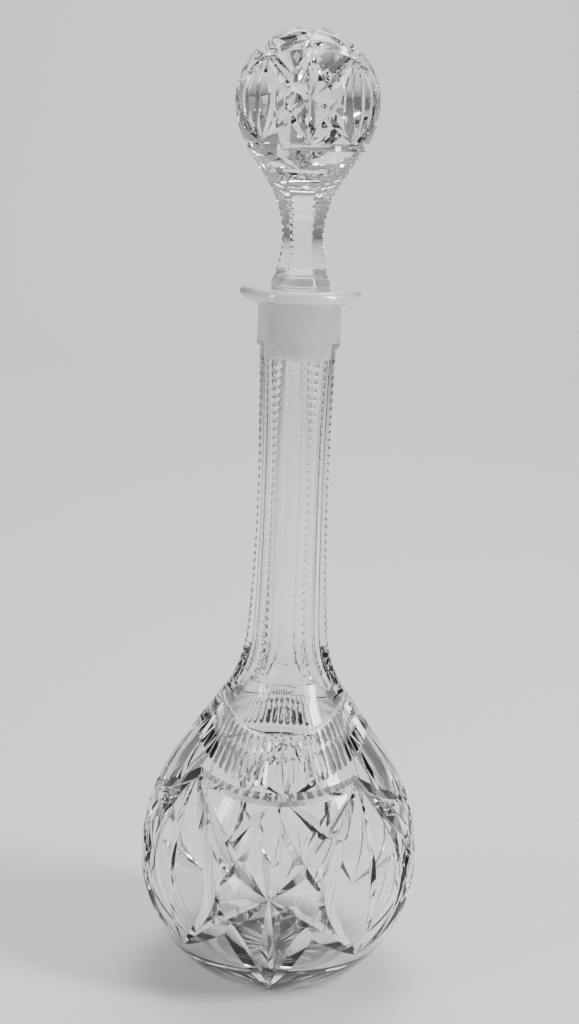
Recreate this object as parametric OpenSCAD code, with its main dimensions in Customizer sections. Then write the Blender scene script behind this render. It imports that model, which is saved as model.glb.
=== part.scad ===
// Cut-glass decanter with a ground-in ball stopper.
// Frame: millimetres, +Z up, origin at the centre of the base on the table, +Y away from the front.

/* [Decanter body] */
// Largest radius of the globe
globe_r = 60; // [58:0.5:62]
// Height of the globe's widest ring
globe_z = 52; // [50:0.5:54]
// Radius of the fuller arc from the widest ring up to the shoulder
shoulder_arc_r = 83; // [80:1:86]
// Lean of the straight shoulder from the vertical, in degrees
shoulder_lean = 35; // [33:0.5:37]
// Radius of the concave sweep from the shoulder into the neck
sweep_r = 52; // [48:1:56]
// Thickness of the glass under the cavity
base_thick = 9; // [7:0.5:11]

/* [Neck] */
// Radius over the neck's ridges at its waist
neck_r = 15.1; // [14.8:0.1:15.6]
// Height of the waist
waist_z = 216; // [210:1:222]
// Radius of the neck's long curve below the waist
neck_curve_r = 900; // [850:10:950]
// Radius of the neck's long curve above the waist
upper_curve_r = 2000; // [1800:50:2200]
// Radius of the bore
bore_r = 10; // [9.5:0.1:10.5]
// Number of flat panels cut along the neck and along the stopper's stem
panels = 6; // [6:1:6]
// Turn of the neck's and the stem's panels about the axis, in degrees
panel_turn = -4; // [-10:1:10]

/* [Mouth] */
// Height of the rim, which is where the stopper's stem leaves it
rim_z = 300; // [296:1:304]
// Radius of the lip
lip_r = 25.3; // [24:0.1:26]
// Thickness of the lip
lip_thick = 5.6; // [5:0.1:6.2]
// Radius of the collar under the lip
collar_r = 17.3; // [17:0.1:17.6]
// Height of the collar's lower edge, where the panels start
collar_z = 275; // [273:0.5:277]

/* [Stopper] */
// Largest radius of the ball
ball_r = 29.6; // [28.5:0.1:30.5]
// Height of the ball's widest ring
ball_z = 375; // [373:0.5:377]
// Radius of the fuller arc from the widest ring down to the ball's cone
ball_arc_r = 37; // [35:0.5:39]
// Radius over the stem's ridges at its waist
stem_r = 8.6; // [8.2:0.1:9]
// Height of the stem's waist
stem_z = 319.5; // [318:0.5:321]
// Radius of the ground plug at the rim
plug_top_r = 12; // [11.8:0.1:12.2]
// Radius of the ground plug at its lower end
plug_end_r = 10.4; // [10.3:0.05:10.5]
// Length of the ground plug
plug_len = 28.4; // [26:0.2:30]
// Radial gap between the ground plug and its seat
seat_gap = 0.05; // [0.02:0.01:0.09]

/* [Cutting] */
// Turn of the globe's pattern about the axis, in degrees
globe_turn = -3; // [-10:0.5:10]
// Turn of the ball's pattern about the axis, in degrees
ball_turn = 2.5; // [-10:0.5:10]
// Quarter turns that the globe's and the ball's patterns repeat in
quarters = 4; // [4:1:4]
// Depth of the mitre cuts on the globe
cut_depth = 2.2; // [1.4:0.1:2.6]
// Depth of the mitre cuts on the ball
ball_cut_depth = 1.3; // [0.8:0.1:1.6]
// Half of the angle between a mitre cut's two faces, in degrees
cut_half_angle = 55; // [50:1:60]

/* [Hidden] */
$fn = 120;

glass = [0.90, 0.93, 0.93, 0.45];
far = 60;                 // reach of a cutter past the surface that it cuts

// Shoulder: the arc's end, and where the sweep touches the straight shoulder and the neck's curve
lean_out = [cos(shoulder_lean), sin(shoulder_lean)];
lean_up = [-sin(shoulder_lean), cos(shoulder_lean)];
arc_mid = [globe_r - shoulder_arc_r, globe_z];
arc_end = arc_mid + shoulder_arc_r * lean_out;
neck_mid = [neck_r + neck_curve_r, waist_z];
sweep_from = arc_end + sweep_r * lean_out - neck_mid;
sweep_b = sweep_from * lean_up;
sweep_c = sweep_from * sweep_from - pow(neck_curve_r - sweep_r, 2);
slope_len = -sweep_b + sqrt(sweep_b * sweep_b - sweep_c);
slope_end = arc_end + slope_len * lean_up;
sweep_mid = slope_end + sweep_r * lean_out;
sweep_end = neck_mid + (sweep_mid - neck_mid) * neck_curve_r / (neck_curve_r - sweep_r);

// The cavity runs parallel to the outside, and its sweep runs out into the bore
wall = sweep_mid[0] - sweep_r - bore_r;
cavity_arc_r = shoulder_arc_r - wall;
cavity_r = globe_r - wall;
cavity_slope = arc_end - wall * lean_out;
cavity_slope_end = slope_end - wall * lean_out;
cavity_floor_r = 110;     // radius of the cavity's shallow floor

// Panels: the wheel leaves the glass in an arc of its own radius, on the shoulder and below the collar
panel_wheel_r = 30;
panel_apothem = cos(180 / panels);
panel_in = neck_r * panel_apothem;
panel_exit_z = 151;
panel_top_z = collar_z + 2.5;
panel_exit_x = panel_in + pow(waist_z - panel_exit_z, 2) / (2 * neck_curve_r);

// Ball: the cone under it touches the ball's arc above and the stem's curve below
ball_out = [cos(shoulder_lean), -sin(shoulder_lean)];
ball_arc_mid = [ball_r - ball_arc_r, ball_z];
ball_arc_end = ball_arc_mid + ball_arc_r * ball_out;
stem_from = [stem_r, stem_z] - ball_arc_end;
stem_curve_r = (stem_from * ball_out) / (1 - ball_out[0]);
stem_mid = [stem_r + stem_curve_r, stem_z];
cone_end = stem_mid - stem_curve_r * ball_out;
stem_panel_in = stem_r * panel_apothem;
stem_panel_r = 41;        // radius of the panels' hollow along the stem
stem_base_z = rim_z + 2;

// Pattern: heights of the crossing points at the corners of the panels
node_high = 97;
node_low = 22;
ball_node_high = 390.4;
ball_node_low = 357.2;

module ring_part(mid, r, low, high) {
  // The part of a disc beside the axis between two heights
  intersection() {
    translate(mid) circle(r);
    translate([0, low]) square([2 * far, high - low]);
  }
}

function long_curve(mid, r, low, high, steps = 8) =
  // Points on a hollow curve of large radius about mid, from one height to another
  [for (i = [0 : steps])
     let (z = low + (high - low) * i / steps)
     [mid[0] - sqrt(r * r - pow(z - mid[1], 2)), z]];

module hollow_part(mid, r, low, high) {
  // The part beside the axis between two heights that a disc outside leaves
  difference() {
    translate([0, low]) square([mid[0] - r + far / 2, high - low]);
    translate(mid) circle(r);
  }
}

module body_outline() {
  ring_part([0, globe_z], globe_r, 0, globe_z);
  ring_part(arc_mid, shoulder_arc_r, globe_z, arc_end[1]);
  polygon([[0, arc_end[1]], arc_end, slope_end, [0, slope_end[1]]]);
  intersection() {
    hollow_part(sweep_mid, sweep_r, slope_end[1], sweep_end[1]);
    translate([0, slope_end[1]]) square([slope_end[0], sweep_end[1] - slope_end[1]]);
  }
  polygon(concat([[0, sweep_end[1]]],
                 long_curve(neck_mid, neck_curve_r, sweep_end[1], waist_z),
                 long_curve([neck_r + upper_curve_r, waist_z], upper_curve_r, waist_z, collar_z),
                 [[0, collar_z]]));
}

module mouth_outline() {
  edge = lip_thick / 2;
  lip_z = rim_z - edge;
  fillet = 3;
  translate([0, collar_z]) square([collar_r, rim_z - collar_z]);
  translate([0, rim_z - lip_thick]) square([lip_r - edge, lip_thick]);
  translate([lip_r - edge, lip_z]) circle(edge);
  difference() {
    translate([0, rim_z - lip_thick - fillet]) square([collar_r + fillet, fillet]);
    translate([collar_r + fillet, rim_z - lip_thick - fillet]) circle(fillet);
  }
}

module cavity_outline() {
  intersection() {
    ring_part([0, globe_z], cavity_r, base_thick, globe_z);
    translate([0, base_thick + cavity_floor_r]) circle(cavity_floor_r);
  }
  ring_part([arc_mid[0], globe_z], cavity_arc_r, globe_z, cavity_slope[1]);
  polygon([[0, cavity_slope[1]], cavity_slope, cavity_slope_end, [0, cavity_slope_end[1]]]);
  intersection() {
    hollow_part(sweep_mid, sweep_r + wall, cavity_slope_end[1], sweep_mid[1]);
    translate([0, cavity_slope_end[1]])
      square([cavity_slope_end[0], sweep_mid[1] - cavity_slope_end[1]]);
  }
  translate([0, sweep_mid[1]]) square([bore_r, rim_z - plug_len - sweep_mid[1]]);
}

module seat() {
  // Ground taper in the mouth, with a short run past both of its ends
  grow = (plug_top_r - plug_end_r) / plug_len;
  over = 1;
  translate([0, 0, rim_z - plug_len - over])
    cylinder(h = plug_len + 2 * over, r1 = plug_end_r + seat_gap - grow * over,
             r2 = plug_top_r + seat_gap + grow * over);
}

module neck_panel() {
  // Flat across and slightly hollow along, leaving the glass in a wheel's arc at its lower end
  rotate([90, 0, 0]) linear_extrude(far, center = true) {
    polygon(concat(long_curve([panel_in + neck_curve_r, waist_z], neck_curve_r,
                              panel_exit_z, panel_top_z, 16),
                   [[far, panel_top_z], [far, panel_exit_z]]));
    intersection() {
      translate([panel_exit_x + panel_wheel_r, panel_exit_z]) circle(panel_wheel_r);
      translate([0, panel_exit_z - panel_wheel_r]) square([far, panel_wheel_r]);
    }
  }
}

module stem_panel() {
  // Flat across and hollow along, following the stem's curve up into the ball's cone
  low = stem_base_z + 2;
  high = stem_z + 0.8 * stem_panel_r;
  rotate([90, 0, 0]) linear_extrude(far, center = true)
    polygon(concat(long_curve([stem_panel_in + stem_panel_r, stem_z], stem_panel_r, low, high, 18),
                   [[far, high], [far, low]]));
}

function body_r(z) =
  // Radius of the globe's uncut surface at a height
  z < globe_z ? sqrt(pow(globe_r, 2) - pow(z - globe_z, 2)) :
  z < arc_end[1] ? arc_mid[0] + sqrt(pow(shoulder_arc_r, 2) - pow(z - globe_z, 2)) :
  arc_end[0] - (z - arc_end[1]) * tan(shoulder_lean);

function ball_surface_r(z) =
  // Radius of the ball's uncut surface at a height
  z > ball_z ? sqrt(pow(ball_r, 2) - pow(z - ball_z, 2)) :
  ball_arc_mid[0] + sqrt(pow(ball_arc_r, 2) - pow(z - ball_z, 2));

function on_surface(r, azimuth, z) = [r * cos(azimuth), r * sin(azimuth), z];

module mitre(a, m, b) {
  // A V groove whose tip runs on the circle through a, m and b: the ends a and b lie on the glass
  // and the middle m lies under it, so the groove is deepest there and dies out at both ends
  past = 5;               // degrees that the cutter runs on past each end
  rise = 7;               // height of the V, which clears the glass all along
  spread = rise * tan(cut_half_angle);
  up = cross(b - a, m - a);
  mid = a + (cross(up, b - a) * pow(norm(m - a), 2) + cross(m - a, up) * pow(norm(b - a), 2))
            / (2 * pow(norm(up), 2));
  x_axis = (m - mid) / norm(m - mid);
  z_axis = up / norm(up);
  y_axis = cross(z_axis, x_axis);
  tip_r = norm(m - mid);
  low = -acos((a - mid) * x_axis / tip_r) - past;
  high = acos((b - mid) * x_axis / tip_r) + past;
  multmatrix([[x_axis[0], y_axis[0], z_axis[0], mid[0]],
              [x_axis[1], y_axis[1], z_axis[1], mid[1]],
              [x_axis[2], y_axis[2], z_axis[2], mid[2]],
              [0, 0, 0, 1]])
    rotate([0, 0, low > high ? high : low]) rotate_extrude(angle = abs(high - low))
      polygon([[tip_r, 0], [tip_r + rise, spread], [tip_r + rise, -spread]]);
}

module globe_mitre(a, b, depth) {
  // A mitre from one point of the globe to another, each given as [azimuth, height]
  middle = (a + b) / 2;
  mitre(on_surface(body_r(a[1]), a[0], a[1]),
        on_surface(body_r(middle[1]) - depth, middle[0], middle[1]),
        on_surface(body_r(b[1]), b[0], b[1]));
}

module ball_mitre(a, b, depth) {
  // A mitre from one point of the ball to another, each given as [azimuth, height]
  middle = (a + b) / 2;
  mitre(on_surface(ball_surface_r(a[1]), a[0], a[1]),
        on_surface(ball_surface_r(middle[1]) - depth, middle[0], middle[1]),
        on_surface(ball_surface_r(b[1]), b[0], b[1]));
}

module quarter_cuts() {
  // One panel of the globe: the two arms of the X, and the lens between it and the next
  half = 180 / quarters;
  globe_mitre([-half, node_high], [half, node_low], cut_depth);
  globe_mitre([half, node_high], [-half, node_low], cut_depth);
  globe_mitre([half, node_high], [half, node_low], cut_depth);
}

module ball_quarter_cuts() {
  // One panel of the ball, cut as the globe's
  half = 180 / quarters;
  ball_mitre([-half, ball_node_high], [half, ball_node_low], ball_cut_depth);
  ball_mitre([half, ball_node_high], [-half, ball_node_low], ball_cut_depth);
  ball_mitre([half, ball_node_high], [half, ball_node_low], ball_cut_depth);
}

module decanter() {
  color(glass)
    difference() {
      rotate_extrude() {
        body_outline();
        mouth_outline();
      }
      rotate_extrude() cavity_outline();
      seat();
      for (i = [0 : panels - 1])
        rotate([0, 0, panel_turn - 90 + i * 360 / panels])
          neck_panel();
      for (i = [0 : quarters - 1])
        rotate([0, 0, globe_turn - 90 + i * 360 / quarters])
          quarter_cuts();
    }
}

module ball_outline() {
  ring_part([0, ball_z], ball_r, ball_z, ball_z + ball_r);
  ring_part(ball_arc_mid, ball_arc_r, ball_arc_end[1], ball_z);
  polygon([[0, cone_end[1]], cone_end, ball_arc_end, [0, ball_arc_end[1]]]);
  intersection() {
    hollow_part(stem_mid, stem_curve_r, stem_base_z, cone_end[1]);
    translate([0, stem_base_z]) square([cone_end[0], cone_end[1] - stem_base_z]);
  }
  translate([0, rim_z]) square([plug_top_r, stem_base_z - rim_z]);
}

module stopper() {
  color(glass)
    difference() {
      union() {
        rotate_extrude() ball_outline();
        translate([0, 0, rim_z - plug_len])
          cylinder(h = plug_len, r1 = plug_end_r, r2 = plug_top_r);
      }
      for (i = [0 : panels - 1])
        rotate([0, 0, panel_turn - 90 + i * 360 / panels])
          stem_panel();
      for (i = [0 : quarters - 1])
        rotate([0, 0, ball_turn - 90 + i * 360 / quarters])
          ball_quarter_cuts();
    }
}

decanter();
stopper();
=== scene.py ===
"""Cut-glass decanter and ball stopper: detailed glass meshes, materials, light and camera.

Lengths are millimetres in the part's own frame, and MM turns them into metres. The floor, the lamps
and the camera are placed in metres.
"""
import math

import bpy
import numpy as np
from mathutils import Matrix, Vector


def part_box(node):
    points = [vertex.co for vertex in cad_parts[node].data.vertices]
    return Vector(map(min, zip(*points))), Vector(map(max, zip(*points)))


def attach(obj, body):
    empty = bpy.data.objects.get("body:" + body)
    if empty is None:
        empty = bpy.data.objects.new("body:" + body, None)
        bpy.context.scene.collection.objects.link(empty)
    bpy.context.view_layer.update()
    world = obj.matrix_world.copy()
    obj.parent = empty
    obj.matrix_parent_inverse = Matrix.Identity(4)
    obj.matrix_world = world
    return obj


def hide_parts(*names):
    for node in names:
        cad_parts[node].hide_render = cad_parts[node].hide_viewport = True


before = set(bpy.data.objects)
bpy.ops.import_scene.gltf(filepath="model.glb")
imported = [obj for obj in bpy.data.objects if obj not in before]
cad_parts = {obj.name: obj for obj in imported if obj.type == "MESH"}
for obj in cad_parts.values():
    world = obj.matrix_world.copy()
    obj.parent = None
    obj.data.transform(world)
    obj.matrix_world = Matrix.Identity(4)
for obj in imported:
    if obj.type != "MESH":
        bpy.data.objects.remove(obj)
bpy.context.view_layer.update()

MM = 0.001
POLISHED, CUT, GROUND, SATIN = range(4)        # places in GLASSES, and so in each piece's materials
ROUND = 240                # steps around each revolved surface

# ---------------------------------------------------------------- sizes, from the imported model
body_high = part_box("decanter")[1]
stop_low, stop_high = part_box("stopper")
GLOBE_R = body_high.x / MM
RIM_Z = body_high.z / MM
BALL_R = stop_high.x / MM
TOP_Z = stop_high.z / MM
PLUG_END_Z = stop_low.z / MM

# ---------------------------------------------------------------- sizes shared with the CAD source
GLOBE_Z = 52.0             # height of the globe's widest ring
SHOULDER_ARC_R = 83.0      # the fuller arc from there up to the shoulder
LEAN = math.radians(35)    # of the straight shoulder from the vertical
SWEEP_R = 52.0             # the concave sweep from the shoulder into the neck
BASE_THICK = 9.0
NECK_R = 15.1              # over the neck's ridges at its waist
WAIST_Z = 216.0
NECK_CURVE_R = 900.0       # the neck's long curve below its waist
UPPER_CURVE_R = 2000.0     # the neck's long curve above its waist
BORE_R = 10.0
LIP_R = 25.3
LIP_THICK = 5.6
COLLAR_R = 17.3
COLLAR_Z = 275.0           # height of the collar's lower edge
BALL_Z = TOP_Z - BALL_R
BALL_ARC_R = 37.0          # the fuller arc from the ball's widest ring down to its cone
STEM_R = 8.6               # over the stem's ridges at its waist
STEM_Z = 319.5             # height of the stem's waist
PLUG_TOP_R = 12.0
PLUG_END_R = 10.4
PLUG_GROWTH = (PLUG_TOP_R - PLUG_END_R) / (RIM_Z - PLUG_END_Z)
SEAT_GAP = 0.05
PANELS = 6
QUARTERS = 4

# Azimuths of the middle of one panel, and of the front quarter of the globe and of the ball.
PANEL_TURN = math.radians(-94)
GLOBE_TURN = math.radians(-93)
BALL_TURN = math.radians(-87.5)

# ---------------------------------------------------------------- sizes of the visual model's own details
FOOT_WEAR_Z = 1.5          # the foot is scuffed dull up to this height
FOOT_WEAR_ROUGH = 0.3
COMB_TOP = 115.8           # height of the comb's upper edge in front
COMB_CLIMB = 11.0          # how much higher that edge is at the sides
COMB_FOOT = 96.8           # height of the comb's lower edge in front
COMB_FOOT_CLIMB = 14.0

# Each pattern's heights, its spreads, and the half widths of its cuts.
GLOBE_PATTERN = {
    "high": 97.5,                   # the nodes between quarters, upper
    "low": 22.0,                    # the nodes between quarters, lower
    "star": 54.0,                   # where the arms cross in the middle of a quarter
    "tops": (93.0, 81.0),           # upper ends in the front and back quarters, then in the side ones
    "bottom": 5.0,                  # the rhombus's lower end
    "lens_low": 2.0,                # the upright cut's lower end
    "side": math.radians(23.4),     # half the rhombus's spread
    "bow": math.radians(21.6),      # half the leaf's spread
    "arm": 4.4, "lens": 3.7, "lens_under": 2.6, "rhomb": 3.7, "leaf": 4.2, "leaf_line": 2.0,
    "angle": 56,                    # half the angle of every cut, in degrees
}
BALL_PATTERN = {
    "high": 392.0, "low": 358.5, "star": 376.7, "tops": (395.5, 395.5), "bottom": 358.0, "lens_low": 359.0,
    "side": math.radians(22), "bow": math.radians(15),
    "arm": 2.7, "lens": 2.6, "lens_under": 2.0, "rhomb": 2.3, "leaf": 2.5, "leaf_line": 1.3,
    "angle": 54,
}

# ---------------------------------------------------------------- where the outlines' runs meet
# Points are (radius, height). OUT is square to the straight shoulder, and UP runs along it.
OUT = np.array([math.cos(LEAN), math.sin(LEAN)])
UP = np.array([-math.sin(LEAN), math.cos(LEAN)])
ARC_MID = np.array([GLOBE_R - SHOULDER_ARC_R, GLOBE_Z])
ARC_END = ARC_MID + SHOULDER_ARC_R * OUT
NECK_MID = np.array([NECK_R + NECK_CURVE_R, WAIST_Z])


def tangent_run(start, along, out, radius, mid, big):
    """How far a straight line runs on before an arc of this radius joins it to the big curve."""
    offset = start + radius * out - mid
    b = float(offset @ along)
    c = float(offset @ offset) - (big - radius) ** 2
    return -b + math.sqrt(b * b - c)


SLOPE_END = ARC_END + tangent_run(ARC_END, UP, OUT, SWEEP_R, NECK_MID, NECK_CURVE_R) * UP
SWEEP_MID = SLOPE_END + SWEEP_R * OUT
SWEEP_END = NECK_MID + (SWEEP_MID - NECK_MID) * NECK_CURVE_R / (NECK_CURVE_R - SWEEP_R)
WALL = SWEEP_MID[0] - SWEEP_R - BORE_R

# Square to the cone under the ball, and the ends of the runs that join it to the ball and the stem.
BALL_OUT = np.array([math.cos(LEAN), -math.sin(LEAN)])
BALL_ARC_MID = np.array([BALL_R - BALL_ARC_R, BALL_Z])
BALL_ARC_END = BALL_ARC_MID + BALL_ARC_R * BALL_OUT
STEM_CURVE_R = float((np.array([STEM_R, STEM_Z]) - BALL_ARC_END) @ BALL_OUT) / (1 - BALL_OUT[0])
STEM_MID = np.array([STEM_R + STEM_CURVE_R, STEM_Z])
CONE_END = STEM_MID - STEM_CURVE_R * BALL_OUT


# ---------------------------------------------------------------- outlines, as (radius, height) points
def arc(mid, radius, start, end, step=2.5):
    """Points along an arc between two angles in degrees, about step millimetres apart."""
    a, b = math.radians(start), math.radians(end)
    n = max(2, math.ceil(abs(b - a) * radius / step))
    return [(mid[0] + radius * math.cos(a + (b - a) * i / n),
             mid[1] + radius * math.sin(a + (b - a) * i / n)) for i in range(n + 1)]


def angle_to(mid, point):
    """Direction from mid to point in degrees, from 0 up to 360."""
    return math.degrees(math.atan2(point[1] - mid[1], point[0] - mid[0])) % 360


def line(a, b, step=3.0):
    """Points along a straight run, both ends included."""
    n = max(1, math.ceil(math.dist(a, b) / step))
    return [(a[0] + (b[0] - a[0]) * i / n, a[1] + (b[1] - a[1]) * i / n) for i in range(n + 1)]


def joined(*runs):
    """One outline out of several runs, without the points that two runs share."""
    points = []
    for run in runs:
        for p in run:
            if not points or math.dist(p, points[-1]) > 0.01:
                points.append(p)
    return points


def body_outside():
    """From the middle of the base up the globe, shoulder and neck to the lip's top edge."""
    foot_round = 1.2
    foot_r = math.sqrt(GLOBE_R ** 2 - GLOBE_Z ** 2)
    collar_round = 1.0
    collar_round_z = COLLAR_Z + 1.4
    under_lip = 3.0
    under_z = RIM_Z - LIP_THICK - under_lip
    lip_edge = LIP_THICK / 2
    foot_angle = -math.degrees(math.asin((GLOBE_Z - foot_round) / GLOBE_R))
    collar_foot_r = NECK_R + UPPER_CURVE_R - math.sqrt(UPPER_CURVE_R ** 2 - (COLLAR_Z - WAIST_Z) ** 2)
    return joined(
        line((0, 0), (foot_r - foot_round, 0), 10),
        arc((0, GLOBE_Z), GLOBE_R, foot_angle, 0),
        arc(ARC_MID, SHOULDER_ARC_R, 0, math.degrees(LEAN)),
        line(ARC_END, SLOPE_END),
        arc(SWEEP_MID, SWEEP_R, 180 + math.degrees(LEAN), angle_to(SWEEP_MID, SWEEP_END), 1.6),
        arc(NECK_MID, NECK_CURVE_R, angle_to(NECK_MID, SWEEP_END), 180, 6),
        arc((NECK_R + UPPER_CURVE_R, WAIST_Z), UPPER_CURVE_R, 180,
            angle_to((NECK_R + UPPER_CURVE_R, WAIST_Z), (collar_foot_r, COLLAR_Z)), 6),
        arc((COLLAR_R - collar_round, collar_round_z), collar_round, -50, 0, 0.3),
        line((COLLAR_R, COLLAR_Z + 1.6), (COLLAR_R, under_z)),
        arc((COLLAR_R + under_lip, under_z), under_lip, 180, 90, 0.5),
        arc((LIP_R - lip_edge, RIM_Z - lip_edge), lip_edge, -90, 90, 0.5),
    )


def body_inside():
    """From the lip's top edge down the ground seat, the bore and the cavity to its floor's middle."""
    seat_top = PLUG_TOP_R + SEAT_GAP
    seat_end_z = PLUG_END_Z - 1
    mouth_round = 0.8
    cavity_r = GLOBE_R - WALL
    slope_in = ARC_END - WALL * OUT
    slope_in_end = SLOPE_END - WALL * OUT
    floor_r = 110.0
    floor_mid = (0, BASE_THICK + floor_r)
    corner = 14.0
    corner_mid = corner_between(cavity_r, floor_r, corner)
    on_wall = angle_to((0, GLOBE_Z), corner_mid)
    on_floor = angle_to(floor_mid, corner_mid)
    return joined(
        arc((seat_top + mouth_round, RIM_Z - mouth_round), mouth_round, 90, 180, 0.3),
        line((seat_top, RIM_Z - mouth_round), (seat_top - PLUG_GROWTH * (RIM_Z - seat_end_z), seat_end_z)),
        line((BORE_R, PLUG_END_Z - 1.3), (BORE_R, SWEEP_MID[1]), 8),
        arc(SWEEP_MID, SWEEP_R + WALL, 180, 180 + math.degrees(LEAN)),
        line(slope_in_end, slope_in),
        arc((ARC_MID[0], GLOBE_Z), SHOULDER_ARC_R - WALL, math.degrees(LEAN), 0),
        arc((0, GLOBE_Z), cavity_r, 0, on_wall - 360),
        arc(corner_mid, corner, on_wall - 360, on_floor - 360, 1.5),
        arc(floor_mid, floor_r, on_floor - 360, -90, 4),
    )


def corner_between(wall_r, floor_r, corner):
    """Centre of the small arc that joins the cavity's wall arc to its shallow floor arc."""
    a, b = wall_r - corner, floor_r - corner
    gap = BASE_THICK + floor_r - GLOBE_Z
    dz = (a * a - b * b + gap * gap) / (2 * gap)
    return (math.sqrt(a * a - dz * dz), GLOBE_Z + dz)


def stopper_outline():
    """From the plug's lower end up the stem and round the ball to its top."""
    end_round = 1.2
    stem_foot_z = RIM_Z + 1.6
    stem_foot_r = STEM_MID[0] - math.sqrt(STEM_CURVE_R ** 2 - (stem_foot_z - STEM_Z) ** 2)
    return joined(
        line((0, PLUG_END_Z), (PLUG_END_R - end_round, PLUG_END_Z), 6),
        arc((PLUG_END_R - end_round, PLUG_END_Z + end_round), end_round, -90, 0, 0.4),
        line((PLUG_END_R + PLUG_GROWTH * end_round, PLUG_END_Z + end_round), (PLUG_TOP_R, RIM_Z)),
        line((PLUG_TOP_R, RIM_Z + 0.4), (stem_foot_r, stem_foot_z)),
        arc(STEM_MID, STEM_CURVE_R, angle_to(STEM_MID, (stem_foot_r, stem_foot_z)),
            180 - math.degrees(LEAN), 1.6),
        line(CONE_END, BALL_ARC_END),
        arc(BALL_ARC_MID, BALL_ARC_R, -math.degrees(LEAN), 0, 1.6),
        arc((0, BALL_Z), BALL_R, 0, 90, 1.6),
    )


# ---------------------------------------------------------------- meshes
def mesh_object(name, vertices, faces, material_index=0):
    """A smooth-shaded mesh object from millimetre points."""
    mesh = bpy.data.meshes.new(name)
    mesh.from_pydata([tuple(v) for v in np.asarray(vertices, float) * MM], [], faces)
    mesh.polygons.foreach_set("use_smooth", [True] * len(faces))
    mesh.polygons.foreach_set("material_index", [material_index] * len(faces))
    mesh.update()
    piece = bpy.data.objects.new(name, mesh)
    bpy.context.scene.collection.objects.link(piece)
    return piece


def revolved(name, outline, finish):
    """A closed solid from an outline that starts and ends on the axis.

    finish(radius, height) picks each face's glass.
    """
    ring = [(math.cos(2 * math.pi * i / ROUND), math.sin(2 * math.pi * i / ROUND)) for i in range(ROUND)]
    inner = outline[1:-1]
    vertices = [(0, 0, outline[0][1])]
    for r, z in inner:
        vertices += [(r * c, r * s, z) for c, s in ring]
    vertices.append((0, 0, outline[-1][1]))
    last = len(vertices) - 1
    last_ring = last - ROUND
    faces = []
    for i in range(ROUND):
        j = (i + 1) % ROUND
        faces.append((0, 1 + j, 1 + i))
        faces.append((last, last_ring + i, last_ring + j))
    for k in range(len(inner) - 1):
        low, high = 1 + k * ROUND, 1 + (k + 1) * ROUND
        for i in range(ROUND):
            j = (i + 1) % ROUND
            faces.append((low + i, low + j, high + j, high + i))
    piece = mesh_object(name, vertices, faces)
    for polygon in piece.data.polygons:
        x, y, z = polygon.center
        polygon.material_index = finish(math.hypot(x, y) / MM, z / MM)
    for material in GLASSES:
        piece.data.materials.append(material)
    return piece


def cut(piece, cutters):
    """Takes a set of cutters out of the piece. Two cutters of one set overlap only outside the glass."""
    vertices, faces = [], []
    for points, polygons in cutters:
        base = len(vertices)
        vertices += list(points)
        faces += [tuple(base + i for i in polygon) for polygon in polygons]
    tool = mesh_object("cutter", vertices, faces, CUT)
    for material in GLASSES:
        tool.data.materials.append(material)
    boolean = piece.modifiers.new("cut", "BOOLEAN")
    boolean.operation = "DIFFERENCE"
    boolean.object = tool
    boolean.solver = "MANIFOLD"
    evaluated = piece.evaluated_get(bpy.context.evaluated_depsgraph_get())
    result = bpy.data.meshes.new_from_object(evaluated)
    old = piece.data
    piece.modifiers.clear()
    piece.data = result
    bpy.data.meshes.remove(old)
    bpy.data.objects.remove(tool)


class Surface:
    """A revolved surface to cut on: its points and outward normals by azimuth and height.

    The outline's heights never fall from its first point to its last.
    """

    def __init__(self, outline):
        self.z = np.array([p[1] for p in outline])
        self.r = np.array([p[0] for p in outline])

    def radius(self, z):
        return float(np.interp(z, self.z, self.r))

    def point(self, azimuth, z):
        r = self.radius(z)
        return np.array([r * math.cos(azimuth), r * math.sin(azimuth), z])

    def normal(self, azimuth, z):
        slope = self.radius(z + 0.5) - self.radius(z - 0.5)
        n = np.array([math.cos(azimuth), math.sin(azimuth), -slope])
        return n / np.linalg.norm(n)


def fading(power):
    """A groove's width along its length: full in the middle, nothing at both ends."""
    return lambda t: 1 - abs(2 * t - 1) ** power


def even(t):
    """The same width all along."""
    return 1.0


def opening(t):
    """A width that starts at nothing and grows to a blunt end."""
    return t ** 0.8 if t > 0 else 2 * t


def on(surface, path):
    """Where a path given as (azimuth, height) runs: its point and outward normal for t from 0 to 1."""
    return lambda t: (surface.point(*path(t)), surface.normal(*path(t)))


def groove(place, half_width, angle, shape=fading(2.0), steps=22, lift=1.0, over=0.04):
    """A V-shaped cutter whose tip runs under place(t). shape(t) scales its half opening half_width.

    angle is half the angle between its two faces, in degrees.
    """
    spread = math.tan(math.radians(angle))
    rings = []
    for i in range(steps + 1):
        t = -over + (1 + 2 * over) * i / steps
        here, normal = place(t)
        along = place(t + 0.01)[0] - place(t - 0.01)[0]
        side = np.cross(normal, along)
        side /= np.linalg.norm(side)
        depth = half_width * shape(t) / spread
        tip = here - normal * depth
        rise = max(depth, 0) + lift
        rings += [tip, tip + rise * (normal + spread * side), tip + rise * (normal - spread * side)]
    return tube(rings, steps + 1, 3)


def tube(points, count, around):
    """A closed tube of count rings with around points each."""
    faces = []
    for k in range(count - 1):
        for i in range(around):
            j = (i + 1) % around
            faces.append((k * around + i, k * around + j, (k + 1) * around + j, (k + 1) * around + i))
    faces.append(tuple(reversed(range(around))))
    faces.append(tuple((count - 1) * around + i for i in range(around)))
    return outward(points, faces)


def outward(points, faces):
    """Turns the faces of a closed shape round if they point inwards."""
    volume = 0.0
    for face in faces:
        for i in range(1, len(face) - 1):
            volume += float(np.dot(points[face[0]], np.cross(points[face[i]], points[face[i + 1]])))
    if volume < 0:
        faces = [tuple(reversed(face)) for face in faces]
    return points, faces


def between(a, b):
    """A straight path from one (azimuth, height) to another."""
    return lambda t: (a[0] + (b[0] - a[0]) * t, a[1] + (b[1] - a[1]) * t)


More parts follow.
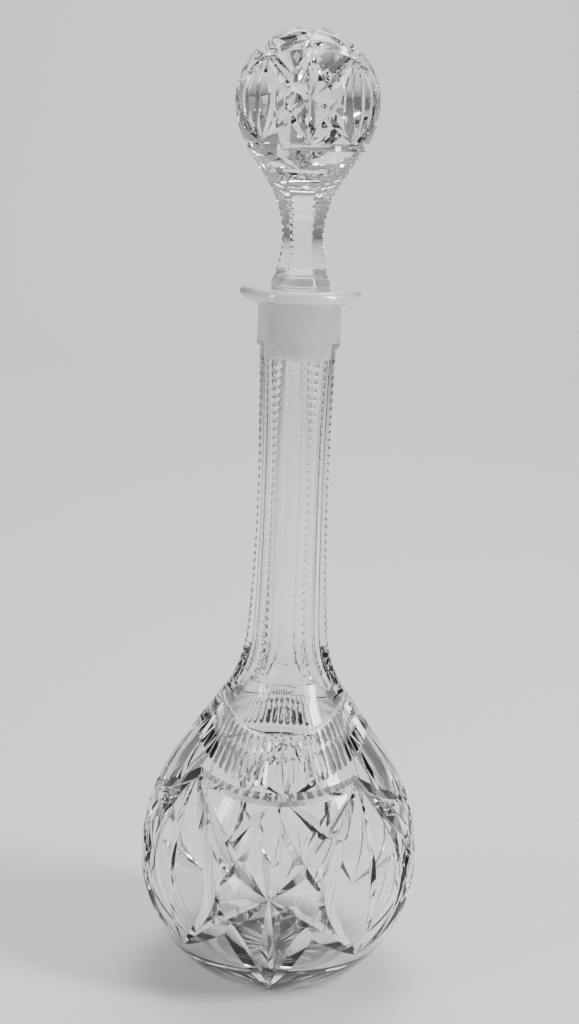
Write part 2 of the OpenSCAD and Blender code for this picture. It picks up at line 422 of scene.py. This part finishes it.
def bowed(azimuth, high, low, middle, bow):
    """A path from one height down to another that bows sideways by an azimuth, most at a middle height."""
    def path(t):
        z = high + (low - high) * t
        span = (high - middle) if z > middle else (middle - low)
        u = min(1.2, abs(z - middle) / span)
        return azimuth + bow * (1 - u * u), z
    return path


def hanging(azimuth, half, node_z, middle_z):
    """A path from one node round to the next whose height changes to middle_z half-way."""
    def path(t):
        a = half * (2 * t - 1)
        return azimuth + a, middle_z + (node_z - middle_z) * (math.sin(a) / math.sin(half)) ** 2
    return path


def quarter_turns(turn, make, chosen=range(QUARTERS)):
    """The cutters of make(azimuth) at the chosen quarter turns."""
    return [cutter for i in chosen for cutter in make(turn + math.pi / 2 * i)]


# ---------------------------------------------------------------- the cuts
def panel(apothem, mid_z, curve_r, low, high, wheel_r=None, wheel_z=None):
    """A cutter for one flat panel, for a middle at azimuth 0: hollow along, flat across.

    Below wheel_z, if given, the panel runs out in an arc of wheel_r.
    """
    half_across, reach, steps = 20.0, 24.0, 30
    profile = []
    for i in range(steps + 1):
        z = high + (low - high) * i / steps
        if wheel_r and z < wheel_z:
            start = apothem + curve_r - math.sqrt(curve_r ** 2 - (wheel_z - mid_z) ** 2)
            profile.append((start + wheel_r - math.sqrt(wheel_r ** 2 - (wheel_z - z) ** 2), z))
        else:
            profile.append((apothem + curve_r - math.sqrt(curve_r ** 2 - (z - mid_z) ** 2), z))
    points = []
    for x, z in profile:
        far = max(reach, x + 10)
        for depth, across in ((x, -half_across), (far, -half_across), (far, half_across), (x, half_across)):
            points.append(np.array((depth, across, z)))
    return tube(points, len(profile), 4)


def rotated(cutter, azimuth):
    """The same cutter turned about the axis."""
    points, faces = cutter
    c, s = math.cos(azimuth), math.sin(azimuth)
    return [np.array([c * p[0] - s * p[1], s * p[0] + c * p[1], p[2]]) for p in points], faces


def notch(radius, z, azimuth, tool_r, depth, half_long):
    """A thumb cut across a ridge: a small round wheel laid level, at a tangent to the ridge."""
    sides = 10
    mid = radius + tool_r - depth
    points = []
    for end in (-half_long, half_long):
        for i in range(sides):
            a = 2 * math.pi * i / sides
            points.append(np.array([mid + tool_r * math.cos(a), end, z + tool_r * math.sin(a)]))
    return rotated(tube(points, 2, sides), azimuth)


def cut_panels_and_notches(piece, surface, panel_cutter, low, high, pitch, tool_r, depth):
    """The flat panels, in two sets of alternate ones, and a row of thumb cuts on each ridge between."""
    step = 2 * math.pi / PANELS
    for first in (0, 1):
        cut(piece, [rotated(panel_cutter, PANEL_TURN + step * i) for i in range(first, PANELS, 2)])
    count = int((high - low) / pitch)
    for row in range(PANELS):
        azimuth = PANEL_TURN + step * (row + 0.5)
        cutters = []
        for k in range(count):
            z = low + pitch * (k + 0.5)
            cutters.append(notch(surface.radius(z), z, azimuth, tool_r, depth, half_long=4.0))
        cut(piece, cutters)


def cut_pattern(piece, surface, turn, p):
    """The mitre pattern p of one revolved form: arms, lens, rhombus, and the leaf between quarters."""
    half = math.pi / QUARTERS
    high, low, star = p["high"], p["low"], p["star"]
    side, angle = p["side"], p["angle"]

    def run(a, b, half_width):
        return groove(on(surface, between(a, b)), half_width, angle)

    for hand in (1, -1):
        cut(piece, quarter_turns(turn, lambda a: [
            run((a - hand * half, high), (a, star), p["arm"]),
            run((a, star), (a + hand * half, low), p["arm"])]))
    for first in (0, 1):
        cut(piece, quarter_turns(turn, lambda a: [
            run((a, p["tops"][first]), (a, star), p["lens"]),
            run((a, star), (a, p["lens_low"]), p["lens_under"])], (first, first + 2)))
    for hand in (1, -1):
        for first in (0, 1):
            cut(piece, quarter_turns(turn, lambda a: [
                run((a, p["tops"][first]), (a + hand * side, star), p["rhomb"]),
                run((a + hand * side, star), (a, p["bottom"]), p["rhomb"])], (first, first + 2)))
    for hand in (1, -1):
        cut(piece, quarter_turns(turn + half, lambda a: [
            groove(on(surface, bowed(a, high, low, star, hand * p["bow"])),
                   p["leaf"], angle, fading(2.5), steps=30)]))
    cut(piece, quarter_turns(turn + half, lambda a: [run((a, high), (a, low), p["leaf_line"])]))


def cut_ring(piece, surface, turn, node_z, middles, half_width, angle):
    """A mitre from node to node round the form. middles gives its height in each quarter's middle."""
    half = math.pi / QUARTERS
    for first in (0, 1):
        cut(piece, [groove(on(surface, hanging(turn + math.pi / 2 * i, half, node_z, middles[first])),
                           half_width, angle, even, steps=36, over=0.02)
                    for i in range(first, QUARTERS, 2)])


def closed_ring(surface, height, half_width, angle, lift=1.0):
    """A V cutter all the way round. height(azimuth) gives where its tip runs."""
    steps = 144
    spread = math.tan(math.radians(angle))
    rise = half_width / spread + lift
    points = []
    for i in range(steps):
        a = 2 * math.pi * i / steps
        normal = surface.normal(a, height(a))
        along = surface.point(a + 0.01, height(a + 0.01)) - surface.point(a - 0.01, height(a - 0.01))
        side = np.cross(normal, along)
        side /= np.linalg.norm(side)
        tip = surface.point(a, height(a)) - half_width / spread * normal
        points += [tip, tip + rise * (normal + spread * side), tip + rise * (normal - spread * side)]
    faces = []
    for k in range(steps):
        n = (k + 1) % steps
        for i in range(3):
            j = (i + 1) % 3
            faces.append((k * 3 + i, k * 3 + j, n * 3 + j, n * 3 + i))
    return outward(points, faces)


def comb_top(azimuth):
    """Height of the comb's upper edge, which climbs towards the two sides."""
    return COMB_TOP + COMB_CLIMB * math.sin(azimuth - GLOBE_TURN) ** 2


def comb_foot(azimuth):
    """Height of the comb's lower edge, which climbs too."""
    return COMB_FOOT + COMB_FOOT_CLIMB * math.sin(azimuth - GLOBE_TURN) ** 2


def cut_comb(piece, surface):
    """Two rows of small flutes round the shoulder, under a fine line."""
    count = 76
    # Start and end as shares of the way down, half width, and how blunt the ends are.
    rows = ((0.03, 0.42, 1.15, 3.0), (0.37, 1.0, 1.45, 7.0))
    for start, end, half_width, power in rows:
        for first in (0, 1):
            cutters = []
            for i in range(first, count, 2):
                a = GLOBE_TURN + 2 * math.pi * i / count
                top, foot = comb_top(a), comb_foot(a)
                high, low = top + (foot - top) * start, top + (foot - top) * end
                cutters.append(groove(on(surface, between((a, high), (a, low))),
                                      half_width, 55, fading(power), steps=10, lift=0.5))
            cut(piece, cutters)
    cut(piece, [closed_ring(surface, comb_top, 0.9, 60, lift=0.6)])


def cut_splits(piece, surface):
    """The long pointed V cuts over the two side quarters, from the comb down to the ring of mitres."""
    # Degrees from the side's middle, upper end and lower end.
    for offset, high, low in ((12, 110.0, 83.5), (32, 107.5, 89.0)):
        start, end = math.radians(offset - 2), math.radians(offset + 1)
        cut(piece, [groove(on(surface, between((side + hand * start, high), (side + hand * end, low))),
                           3.7, 55, opening, steps=16)
                    for side in (GLOBE_TURN + math.pi / 2, GLOBE_TURN - math.pi / 2)
                    for hand in (1, -1)])


def cut_base_star(piece):
    """A star of rays under the base."""
    rays, start_r, length = 16, 5, 22
    down = np.array([0, 0, -1.0])
    for first in (0, 1):
        cutters = []
        for i in range(first, rays, 2):
            a = GLOBE_TURN + 2 * math.pi * i / rays
            out = np.array([math.cos(a), math.sin(a), 0])
            cutters.append(groove(lambda t: ((start_r + length * t) * out, down), 1.8, 58))
        cut(piece, cutters)


def cut_ball_top(piece):
    """Four grooves that cross over the top of the ball."""
    grooves, reach = 4, math.radians(31)
    for i in range(grooves):
        a = BALL_TURN + math.pi / grooves * i
        across = np.array([math.cos(a), math.sin(a), 0])

        def over_top(t):
            lean = reach * (2 * t - 1)
            normal = math.sin(lean) * across + math.cos(lean) * np.array([0, 0, 1.0])
            return BALL_R * normal + np.array([0, 0, BALL_Z]), normal

        cut(piece, [groove(over_top, 2.0, 58, fading(3.0))])


# ---------------------------------------------------------------- materials
def node(tree, kind, **values):
    """A new shader node. Each value goes to the input of its name, or else to the setting of its name."""
    made = tree.nodes.new(kind)
    for name, value in values.items():
        if name in made.inputs:
            made.inputs[name].default_value = value
        else:
            setattr(made, name, value)
    return made


def glass(name, tint, tint_deep, rough_low, rough_high, scale, bump, clear=1.0, coat=0.0):
    """Clear, ground or satin glass: colour, gloss and a faint waviness all vary over the surface."""
    material = bpy.data.materials.new(name)
    material.use_nodes = True
    tree = material.node_tree
    tree.nodes.clear()
    out = node(tree, "ShaderNodeOutputMaterial")
    shader = node(tree, "ShaderNodeBsdfPrincipled", IOR=1.54)
    shader.inputs["Transmission Weight"].default_value = clear
    shader.inputs["Coat Weight"].default_value = coat
    where = node(tree, "ShaderNodeTexCoord")
    wide = node(tree, "ShaderNodeTexNoise", Scale=scale, Detail=3.0)
    colour = node(tree, "ShaderNodeValToRGB")
    colour.color_ramp.elements[0].color = (*tint_deep, 1)
    colour.color_ramp.elements[1].color = (*tint, 1)
    rough = node(tree, "ShaderNodeMapRange")
    rough.inputs["To Min"].default_value = rough_low
    rough.inputs["To Max"].default_value = rough_high
    fine = node(tree, "ShaderNodeTexNoise", Scale=scale * 6, Detail=2.0)
    relief = node(tree, "ShaderNodeBump", Strength=bump, Distance=0.0004)
    link = tree.links.new
    link(where.outputs["Object"], wide.inputs["Vector"])
    link(where.outputs["Object"], fine.inputs["Vector"])
    link(wide.outputs["Fac"], colour.inputs["Fac"])
    link(colour.outputs["Color"], shader.inputs["Base Color"])
    link(fine.outputs["Fac"], rough.inputs["Value"])
    height = node(tree, "ShaderNodeSeparateXYZ")
    foot = node(tree, "ShaderNodeMapRange")
    foot.inputs["From Min"].default_value = FOOT_WEAR_Z * MM
    foot.inputs["From Max"].default_value = 0.0
    foot.inputs["To Max"].default_value = FOOT_WEAR_ROUGH
    gloss = node(tree, "ShaderNodeMath", operation="MAXIMUM")
    link(where.outputs["Object"], height.inputs["Vector"])
    link(height.outputs["Z"], foot.inputs["Value"])
    link(rough.outputs["Result"], gloss.inputs[0])
    link(foot.outputs["Result"], gloss.inputs[1])
    link(gloss.outputs["Value"], shader.inputs["Roughness"])
    link(fine.outputs["Fac"], relief.inputs["Height"])
    link(relief.outputs["Normal"], shader.inputs["Normal"])
    link(shader.outputs["BSDF"], out.inputs["Surface"])
    return material


def paper(name, pale, deep):
    """Plain pale paper, with a hint of fibre."""
    material = bpy.data.materials.new(name)
    material.use_nodes = True
    tree = material.node_tree
    shader = tree.nodes["Principled BSDF"]
    shader.inputs["Roughness"].default_value = 0.85
    fibre = node(tree, "ShaderNodeTexNoise", Scale=220.0, Detail=4.0)
    colour = node(tree, "ShaderNodeValToRGB")
    colour.color_ramp.elements[0].color = (*deep, 1)
    colour.color_ramp.elements[1].color = (*pale, 1)
    where = node(tree, "ShaderNodeTexCoord")
    tree.links.new(where.outputs["Object"], fibre.inputs["Vector"])
    tree.links.new(fibre.outputs["Fac"], colour.inputs["Fac"])
    tree.links.new(colour.outputs["Color"], shader.inputs["Base Color"])
    return material


WATER_WHITE = (0.985, 0.992, 0.99)
DEEP_WHITE = (0.96, 0.975, 0.972)
GLASSES = (
    glass("polished_glass", WATER_WHITE, DEEP_WHITE, rough_low=0.0, rough_high=0.02, scale=14.0, bump=0.03),
    glass("cut_glass", WATER_WHITE, DEEP_WHITE, rough_low=0.0, rough_high=0.03, scale=60.0, bump=0.05),
    glass("ground_glass", (1.0, 1.0, 1.0), (0.96, 0.965, 0.965), rough_low=0.35, rough_high=0.5,
          scale=400.0, bump=0.4, clear=0.45),
    glass("satin_glass", (1.0, 1.0, 1.0), (0.97, 0.975, 0.975), rough_low=0.16, rough_high=0.26,
          scale=40.0, bump=0.05, clear=0.62, coat=1.0),
)


def finish_mesh(piece):
    """Sharp edges where cuts meet, and normals that follow the large faces beside them."""
    piece.data.set_sharp_from_angle(angle=math.radians(16))
    weighted = piece.modifiers.new("weighted", "WEIGHTED_NORMAL")
    weighted.keep_sharp = True
    weighted.weight = 100


# ---------------------------------------------------------------- the decanter
def body_finish(r, z):
    """Ground glass in the seat, satin on the lip, polished elsewhere."""
    seat_r, seat_foot_z = PLUG_TOP_R + 0.3, PLUG_END_Z - 1.2
    lip_foot_z = RIM_Z - LIP_THICK + 0.6
    if r < seat_r and z > seat_foot_z:
        return GROUND
    if r >= seat_r and z > lip_foot_z:
        return SATIN
    return POLISHED


def make_decanter():
    """The body: its revolved form, then its cuts from the neck down to the base."""
    outside = body_outside()
    piece = revolved("decanter_glass", outside + body_inside(), body_finish)
    surface = Surface([p for p in outside[2:] if p[1] < COLLAR_Z])
    exit_z, exit_wheel_r = 151.0, 30.0
    neck_panel = panel(NECK_R * math.cos(math.pi / PANELS), WAIST_Z, NECK_CURVE_R,
                       low=exit_z - exit_wheel_r + 0.5, high=COLLAR_Z + 2.5,
                       wheel_r=exit_wheel_r, wheel_z=exit_z)
    cut_panels_and_notches(piece, surface, neck_panel, low=134.0, high=272.0,
                           pitch=3.4, tool_r=1.6, depth=0.6)
    cut_comb(piece, surface)
    cut_splits(piece, surface)
    cut_ring(piece, surface, GLOBE_TURN, node_z=97.5, middles=(93.5, 82.5), half_width=2.8, angle=50)
    cut_pattern(piece, surface, GLOBE_TURN, GLOBE_PATTERN)
    cut_base_star(piece)
    finish_mesh(piece)
    return piece


# ---------------------------------------------------------------- the stopper
def stopper_finish(r, z):
    """Ground glass round the plug, polished elsewhere."""
    return GROUND if z < RIM_Z and r > 1 else POLISHED


def make_stopper():
    """The stopper: its revolved form, then its cuts on the stem and the ball."""
    outline = stopper_outline()
    piece = revolved("stopper_glass", outline, stopper_finish)
    surface = Surface([p for p in outline if p[1] > RIM_Z])
    panel_curve_r, foot_ring_z = 46.0, 357.5
    stem_panel = panel(STEM_R * math.cos(math.pi / PANELS), STEM_Z, panel_curve_r,
                       low=RIM_Z + 1.0, high=STEM_Z + 36)
    cut_panels_and_notches(piece, surface, stem_panel, low=304.5, high=341.0,
                           pitch=3.0, tool_r=1.4, depth=0.45)
    cut(piece, [closed_ring(surface, lambda azimuth: foot_ring_z, half_width=1.8, angle=52)])
    cut_ring(piece, surface, BALL_TURN, node_z=394.5, middles=(397.3, 397.3), half_width=2.9, angle=58)
    cut_ball_top(piece)
    cut_pattern(piece, surface, BALL_TURN, BALL_PATTERN)
    finish_mesh(piece)
    return piece


# ---------------------------------------------------------------- the two pieces on their bodies
decanter = make_decanter()
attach(decanter, "decanter")
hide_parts("decanter")

stopper = make_stopper()
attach(stopper, "stopper")
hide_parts("stopper")


# ---------------------------------------------------------------- floor, light and camera
def make_floor():
    """A wide round sheet of pale paper, and a narrow one that sweeps up behind, past every viewpoint."""
    pale_paper = paper("pale_paper", (0.66, 0.655, 0.645), (0.62, 0.615, 0.605))
    floor_r, corners = 5.0, 120
    turns = [2 * math.pi * i / corners for i in range(corners)]
    edge = [(floor_r / MM * math.cos(a), floor_r / MM * math.sin(a), 0) for a in turns]
    floor = mesh_object("floor", edge, [tuple(range(corners))])
    start, bend, height, side, steps = 1.9, 0.75, 1.9, 0.85, 12
    profile = []
    for i in range(steps + 1):
        a = math.pi / 2 * i / steps
        profile.append((start + bend * math.sin(a), bend * (1 - math.cos(a))))
    profile.append((start + bend, height))
    vertices, faces = [], []
    for y, z in profile:
        vertices += [(-side / MM, y / MM, z / MM), (side / MM, y / MM, z / MM)]
    for k in range(len(profile) - 1):
        faces.append((2 * k, 2 * k + 1, 2 * k + 3, 2 * k + 2))
    sweep = mesh_object("sweep", vertices, faces)
    for sheet in (floor, sweep):
        sheet.data.materials.append(pale_paper)


def area_light(name, place, target, width, height, power, colour=(1, 1, 1)):
    """A rectangular lamp at one place that faces another, in metres and watts."""
    data = bpy.data.lights.new(name, "AREA")
    data.shape = "RECTANGLE"
    data.size, data.size_y = width, height
    data.energy = power
    data.color = colour
    lamp = bpy.data.objects.new(name, data)
    lamp.location = place
    lamp.rotation_euler = (Vector(target) - Vector(place)).to_track_quat("-Z", "Y").to_euler()
    bpy.context.scene.collection.objects.link(lamp)


def make_light():
    """A dim room round the pale paper, so that the glass shows dark edges, with soft lamps."""
    world = bpy.data.worlds.new("studio")
    bpy.context.scene.world = world
    world.use_nodes = True
    tree = world.node_tree
    where = node(tree, "ShaderNodeTexCoord")
    parts = node(tree, "ShaderNodeSeparateXYZ")
    ramp = node(tree, "ShaderNodeValToRGB")
    ramp.color_ramp.elements[0].position = 0.25
    ramp.color_ramp.elements[0].color = (0.05, 0.05, 0.055, 1)
    ramp.color_ramp.elements[1].position = 0.95
    ramp.color_ramp.elements[1].color = (0.75, 0.77, 0.8, 1)
    rise = node(tree, "ShaderNodeMapRange")
    rise.inputs["From Min"].default_value = -1.0
    tree.links.new(where.outputs["Generated"], parts.inputs["Vector"])
    tree.links.new(parts.outputs["Z"], rise.inputs["Value"])
    tree.links.new(rise.outputs["Result"], ramp.inputs["Fac"])
    tree.links.new(ramp.outputs["Color"], tree.nodes["Background"].inputs["Color"])
    tree.nodes["Background"].inputs["Strength"].default_value = 0.6
    middle = (0, 0, 0.2)
    area_light("window", (1.2, -0.55, 0.95), middle, 0.32, 0.85, power=34, colour=(1, 0.99, 0.97))
    area_light("fill", (-1.3, -0.9, 0.8), middle, 0.2, 0.9, power=10, colour=(0.95, 0.97, 1))
    area_light("top", (0.1, 0.45, 1.7), (0, 0.5, 0), 1.1, 0.8, power=24)
    area_light("back", (0, 1.75, 1.8), (0, 2.5, 0.2), 1.6, 0.5, power=26)


def make_camera():
    """In front and a little above, tilted down, and rolled slightly."""
    place = (-0.0009, -0.828, 0.3834)
    data = bpy.data.cameras.new("camera")
    data.lens = 70.3
    data.sensor_width = 36.0
    camera = bpy.data.objects.new("camera", data)
    tilt, roll = math.radians(12.2), math.radians(2.26)
    camera.matrix_world = (Matrix.Translation(place)
                           @ Matrix.Rotation(math.pi / 2 - tilt, 4, "X") @ Matrix.Rotation(roll, 4, "Z"))
    bpy.context.scene.collection.objects.link(camera)
    bpy.context.scene.camera = camera


make_floor()
make_light()
make_camera()
